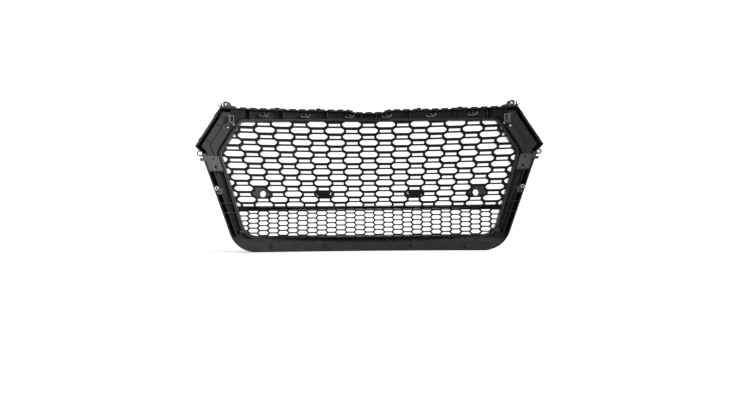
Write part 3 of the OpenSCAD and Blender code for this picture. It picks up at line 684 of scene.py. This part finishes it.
def solids_of(node):
    """Lowest and highest corner of each separate solid in a CAD node."""
    bm = bmesh.new()
    bm.from_mesh(frame["nodes"][node].data)
    bmesh.ops.remove_doubles(bm, verts=bm.verts, dist=1e-5)
    loose, found = set(bm.verts), []
    while loose:
        queue, places = [loose.pop()], []
        while queue:
            vertex = queue.pop()
            places.append(vertex.co.copy())
            near = [e.other_vert(vertex) for e in vertex.link_edges]
            queue += [v for v in near if v in loose]
            loose.difference_update(near)
        found.append(tuple(tuple(pick(p[axis] for p in places) for axis in range(3)) for pick in (min, max)))
    bm.free()
    return sorted(found)


def lathe(name, profile, steps=24):
    """A closed solid turned about Y from points (radius, y); the first and last lie on the axis."""
    bm = bmesh.new()
    rings = []
    for radius, y in profile:
        count = steps if radius else 1
        rings.append([bm.verts.new((radius * math.cos(2 * math.pi * i / steps), y,
                                    radius * math.sin(2 * math.pi * i / steps))) for i in range(count)])
    for low, high in zip(rings, rings[1:]):
        for i in range(steps):
            corners = [low[i % len(low)], low[(i + 1) % len(low)],
                       high[(i + 1) % len(high)], high[i % len(high)]]
            bm.faces.new(list(dict.fromkeys(corners)))
    return from_bmesh(name, bm)


def screw_head():
    """A pan head screw with a cross recess, its seat at the origin and its shank along +Y."""
    head = lathe("screw", [(0, -SCREW_HEAD_H), (0.0019, -0.00235), (0.0029, -0.002), (0.0035, -0.0012),
                           (0.0036, -0.0003), (0.0034, 0), (0.002, 0), (0.002, 0.0112),
                           (0.0012, 0.012), (0, 0.012)])
    cross = bmesh.new()
    for turn in (0, math.pi / 2):
        size = Matrix.Diagonal((0.0038, 0.0026, 0.0009, 1))
        bmesh.ops.create_cube(cross, size=1, matrix=Matrix.Translation((0, -0.0026, 0))
                              @ Matrix.Rotation(turn, 4, "Y") @ size)
    recess = from_bmesh("recess", cross)
    for piece in (recess, head):
        cut = piece.modifiers.new("cut", "BOOLEAN")
        cut.solver = "EXACT"
        if piece is recess:
            cut.use_self = True
            cut.operation = "UNION"
            cut.object = lathe("core", [(0, -0.0032), (0.0007, -0.0032), (0.0007, -0.0011), (0, -0.0009)])
        else:
            cut.object = recess
        helper = cut.object
        bake(piece)
        bpy.data.objects.remove(helper)
    return soften(head, 0.00012, 1)


def screw_tree():
    """A screw on every point, each turned about its own axis by a random amount."""
    w = Wiring("driven screws", [("Screw", "Object"), ("Seed", "Int"), ("Finish", "Material")])
    chance = w.node("FunctionNodeRandomValue", {"Seed": w.given["Seed"]}, data_type="FLOAT")
    spin = w.math("MULTIPLY", next(o for o in chance.outputs if o.enabled), math.tau)
    turn = w.node("ShaderNodeCombineXYZ", {"X": 0.0, "Y": spin, "Z": 0.0}).outputs[0]
    shape = w.node("GeometryNodeObjectInfo", {"Object": w.given["Screw"]}).outputs["Geometry"]
    w.finish(w.node("GeometryNodeInstanceOnPoints", {
        "Points": w.given["Geometry"], "Instance": shape, "Rotation": turn}).outputs[0])
    return w


def build_screws():
    head, tree = screw_head(), screw_tree()
    for seed, node in enumerate(("joiner_screws", "panel_screws", "trim_screws")):
        bm = bmesh.new()
        for low, high in solids_of(node):
            bm.verts.new(((low[0] + high[0]) / 2, low[1] + SCREW_HEAD_H, (low[2] + high[2]) / 2))
        mesh = bpy.data.meshes.new(node)
        bm.to_mesh(mesh)
        bm.free()
        piece = as_object(node + "_driven", mesh)
        tree.apply(piece, {"Screw": head, "Seed": seed, "Finish": FINISH["screw_zinc"]})
        keep(piece, "screw_zinc", node)
    bpy.data.objects.remove(head)


build_screws()


def ribbon(path, width):
    """A closed outline round an open path."""
    sides = []
    for sign in (1, -1):
        for i, p in enumerate(path):
            before = (p - path[i - 1]).normalized() if i else (path[1] - p).normalized()
            after = (path[i + 1] - p).normalized() if i + 1 < len(path) else before
            n1, n2 = Vector((-before.y, before.x)), Vector((-after.y, after.x))
            sides.append((i, sign, p + (n1 + n2) * sign * width / 2 / (1 + n1.dot(n2))))
    left = [p for _, sign, p in sides if sign > 0]
    right = [p for _, sign, p in sides if sign < 0]
    return left + right[::-1]


def build_rail_clip(node, x):
    """A foot with a V of two sprung arms and a low angle beside it, all of thin sheet."""
    low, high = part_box(node)
    half = (high.z - low.z) / 2
    seat = sheet_y(x, MESH_HALF - WEB_T) - CLIP_W ** 2 / (8 * SWEEP_R)
    turn = Matrix.Rotation(-math.asin(x / SWEEP_R), 4, "Z")
    place = Matrix.Translation((x, seat, (low.z + high.z) / 2)) @ turn
    raised = [(-0.0298, -0.0002), (-0.0295, 0), (-0.001, 0)]
    sheet, apex, floor = 0.0011, 0.0064, 0.0008 - half
    arms = [Vector(p) for p in ((-0.0022, half), (-0.0006, half - 0.0008), (apex, floor),
                                (0.0134, half - 0.0008), (0.015, half))]
    corner = 0.0008 - CLIP_W / 2
    angle = [Vector(p) for p in ((corner, 0.2 * half), (corner, floor), (apex, floor))]
    foot = rounded([(-CLIP_W / 2, -half, 0.002), (CLIP_W / 2, -half, 0.002), (CLIP_W / 2, half, 0.002),
                    (-CLIP_W / 2, half, 0.002)], 4)
    shapes = (("arms", ribbon(arms, sheet), raised),
              ("angle", ribbon(angle, sheet), raised),
              ("foot", foot, [(-0.002, -0.0004), (-0.0016, 0), (0, 0)]))
    for label, outline, levels in shapes:
        piece = soften(prism(f"{node}_{label}", outline, levels), 0)
        piece.data.transform(place)
        keep(piece, "clip_plastic", *([] if label == "foot" else [node]))


for i, x in enumerate(CLIP_X):
    build_rail_clip(f"rail_clip_{i + 1}", x)


def build_cheek_lip(side):
    """The rolled edge along the back of a cheek's outer wall."""
    ear, tip = Vector((0.458, TOP_Z)), Vector((HALF_W, CHEEK_Z))
    along = (tip - ear).normalized()
    into = Vector((along.y, -along.x))
    start, end, steps = 0.022, (tip - ear).length - 0.006, 10
    path = [ear + along * (start + (end - start) * i / steps) + into * 0.0031 for i in range(steps + 1)]
    path = [Vector((p.x * (1 if side == "right" else -1), p.y)) for p in path]
    back = -FRAME_DEPTH
    piece = prism("cheek_lip_" + side, ribbon(path, 0.0058),
                  [(back, -0.0008), (back + 0.0004, -0.0003), (back + 0.001, 0), (back + 0.0025, 0)])
    for vertex in piece.data.vertices:
        vertex.co.y = sheet_y(vertex.co.x, vertex.co.y)
    return keep(soften(piece, 0), "frame_plastic")


for side in ("left", "right"):
    build_cheek_lip(side)

USUAL_EDGE = 0.0005
EDGES = {
    "front_trim_upper": 0.0016, "front_trim_lower": 0.0016,
    "divider_bar": 0.0008, "waist_joiner_left": 0.0012, "waist_joiner_right": 0.0012,
}
REPLACED = ("upper_mesh", "lower_mesh", "mesh_rim", "joiner_screws", "panel_screws", "trim_screws",
            *(f"rail_clip_{i}" for i in range(1, 7)))
for node in sorted(frame["nodes"]):
    if node in REPLACED:
        continue
    finished_copy(node, node + "_finished", EDGES.get(node, USUAL_EDGE))


# ---------------------------------------------------------------- studio
def area_light(name, at, target, size, power):
    data = bpy.data.lights.new(name, "AREA")
    data.shape = "RECTANGLE"
    data.size, data.size_y = size
    data.energy = power
    made = bpy.data.objects.new(name, data)
    bpy.context.scene.collection.objects.link(made)
    made.location = at
    made.rotation_euler = (Vector(target) - Vector(at)).to_track_quat("-Z", "Y").to_euler()


def build_studio():
    world = bpy.data.worlds.new("studio white")
    bpy.context.scene.world = world
    world.use_nodes = True
    backing = next(n for n in world.node_tree.nodes if n.type == "BACKGROUND")
    backing.inputs["Color"].default_value = (1, 1, 1, 1)
    backing.inputs["Strength"].default_value = 1.16
    bpy.ops.mesh.primitive_plane_add(size=60, location=(0, 0, -0.0005))
    floor = bpy.context.object
    floor.name = "studio_floor"
    made, tree, shader, coords = surface("studio floor", (0.9, 0.9, 0.9), 0.7, 0.2)
    cloud = spread(tree, noise(tree, coords, 3), 0.3, 0.7, 0, 1)
    tone = tint(tree, cloud, (0.89, 0.89, 0.89), (0.92, 0.92, 0.92))
    tree.links.new(tone, shader.inputs["Base Color"])
    floor.data.materials.append(made)
    area_light("key", (3.0, -1.7, 0.9), (-0.3, 0, 0.2), (1.2, 1.4), 260)
    area_light("sheen", (1.45, -2.4, 0.9), (-0.2, 0, 0.2), (0.9, 1.4), 18)
    area_light("strip", (-0.99, -2.06, 0.455), (0.49, 0, 0.28), (0.1, 0.8), 3)
    area_light("front", (0.8, 2.6, 1.3), (0, 0, 0.25), (2.2, 1.4), 9)
    bpy.context.scene.view_settings.view_transform = "Standard"


def build_camera():
    """A camera on the rear side, a little below the middle of the grille."""
    at = Vector((-0.0573, -2.7371, 0.0856))
    turn, tilt, roll = math.radians(-0.893), math.radians(1.195), math.radians(-0.461)
    ahead = Vector((-math.sin(turn) * math.cos(tilt), math.cos(turn) * math.cos(tilt), math.sin(tilt)))
    right = Vector((math.cos(turn), math.sin(turn), 0))
    up = right.cross(ahead)
    right, up = (right * math.cos(roll) + up * math.sin(roll), up * math.cos(roll) - right * math.sin(roll))
    data = bpy.data.cameras.new("camera")
    data.sensor_width = 36
    data.lens = 43.08
    made = bpy.data.objects.new("camera", data)
    bpy.context.scene.collection.objects.link(made)
    made.matrix_world = Matrix((
        (right.x, up.x, -ahead.x, at.x), (right.y, up.y, -ahead.y, at.y), (right.z, up.z, -ahead.z, at.z),
        (0, 0, 0, 1)))
    bpy.context.scene.camera = made


build_studio()
build_camera()
